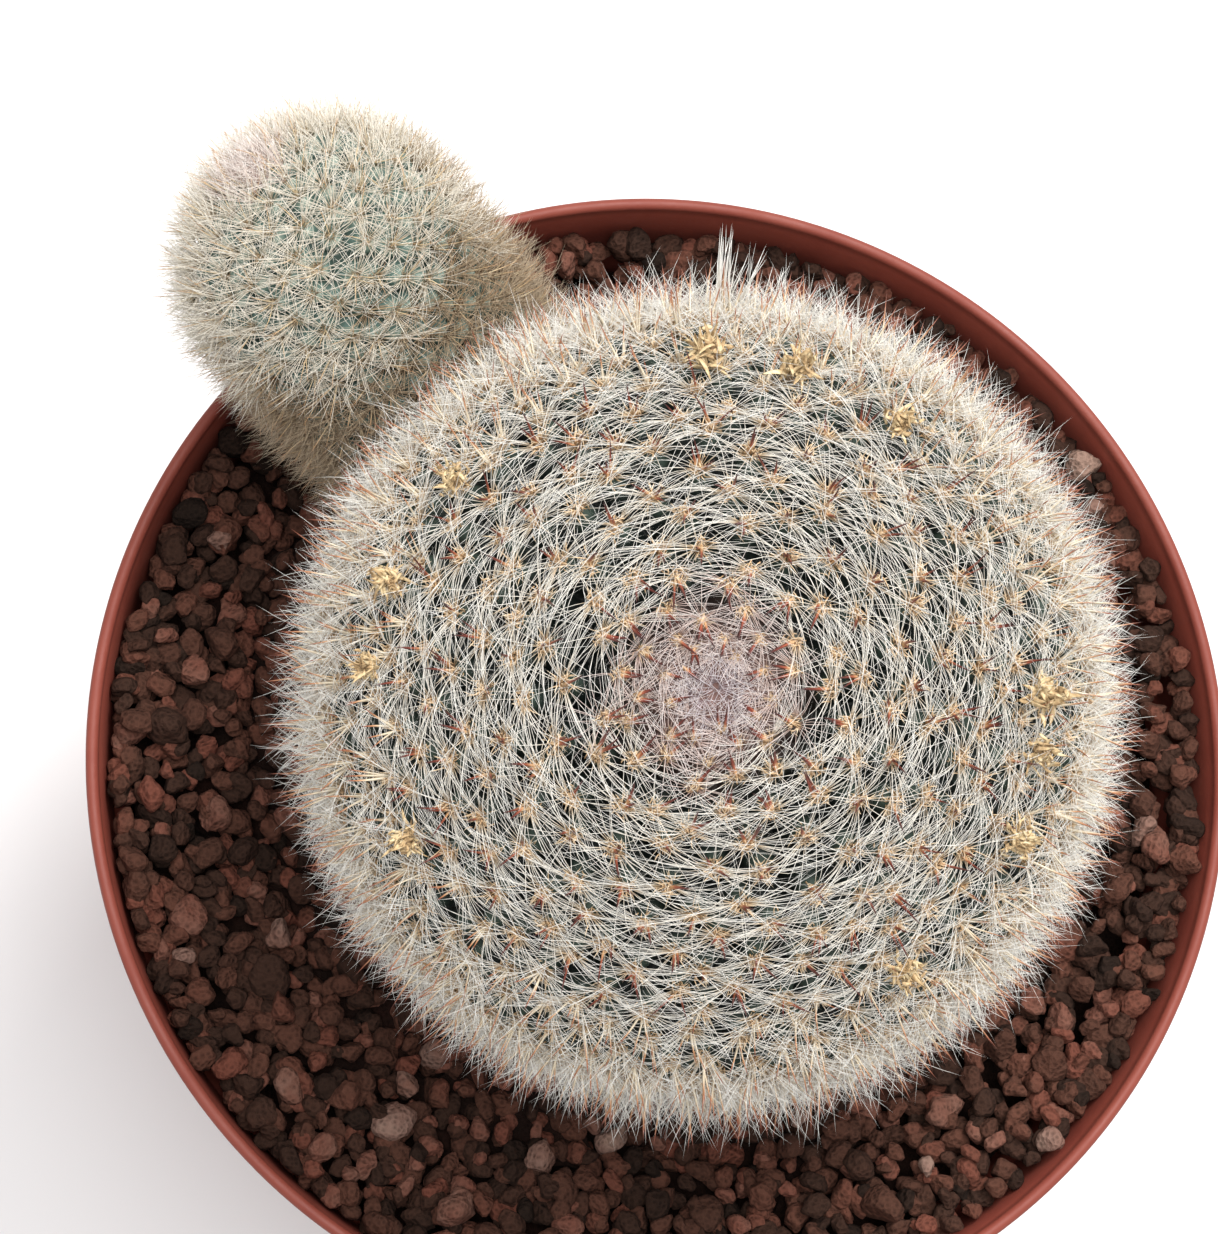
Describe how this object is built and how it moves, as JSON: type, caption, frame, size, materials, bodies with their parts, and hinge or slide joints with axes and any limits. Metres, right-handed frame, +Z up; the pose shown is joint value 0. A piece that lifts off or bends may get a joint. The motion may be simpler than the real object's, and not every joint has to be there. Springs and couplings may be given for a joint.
{
  "type": "potted round cactus",
  "caption": "Round white-spined cactus with a leaning pup and dried flower remains, growing in lava grit in a round plastic nursery pot.",
  "frame": {"origin": "middle of the pot's flat underside, on the surface that it stands on", "axes": "+Z up; the pot is round about Z; the pup leans out towards -X and +Y"},
  "size_m": [0.12, 0.1225, 0.1628],
  "materials": {
    "terracotta_plastic": "satin moulded plastic, terracotta colour",
    "potting_mix": "damp dark fibrous growing mix",
    "lava_grit": "rough porous red-brown lava grit",
    "cactus_skin": "grey-green waxy skin with low tubercles",
    "spines": "glassy white and cream spines with rust-brown tips",
    "dried_flower": "dry crumpled petals, tan"
  },
  "bodies": {
    "root": {"pot": "terracotta_plastic", "potting_mix": "potting_mix", "lava_gravel_bed": "lava_grit", "main_stem": "cactus_skin", "offset_stem": "cactus_skin", "main_spine_coat": "spines", "offset_spine_coat": "spines", "lava_stone_01": "lava_grit", "lava_stone_02": "lava_grit", "lava_stone_03": "lava_grit", "lava_stone_04": "lava_grit", "lava_stone_05": "lava_grit", "lava_stone_06": "lava_grit", "lava_stone_07": "lava_grit", "lava_stone_08": "lava_grit", "lava_stone_09": "lava_grit", "lava_stone_10": "lava_grit", "lava_stone_11": "lava_grit", "lava_stone_12": "lava_grit", "lava_stone_13": "lava_grit", "lava_stone_14": "lava_grit", "lava_stone_15": "lava_grit", "lava_stone_16": "lava_grit", "lava_stone_17": "lava_grit", "lava_stone_18": "lava_grit", "lava_stone_19": "lava_grit", "lava_stone_20": "lava_grit", "lava_stone_21": "lava_grit", "lava_stone_22": "lava_grit", "lava_stone_23": "lava_grit", "lava_stone_24": "lava_grit", "dried_flower_01": "dried_flower", "dried_flower_02": "dried_flower", "dried_flower_03": "dried_flower", "dried_flower_04": "dried_flower", "dried_flower_05": "dried_flower", "dried_flower_06": "dried_flower", "dried_flower_07": "dried_flower", "dried_flower_08": "dried_flower", "dried_flower_09": "dried_flower", "dried_flower_10": "dried_flower", "dried_flower_11": "dried_flower"}
  },
  "joints": []
}
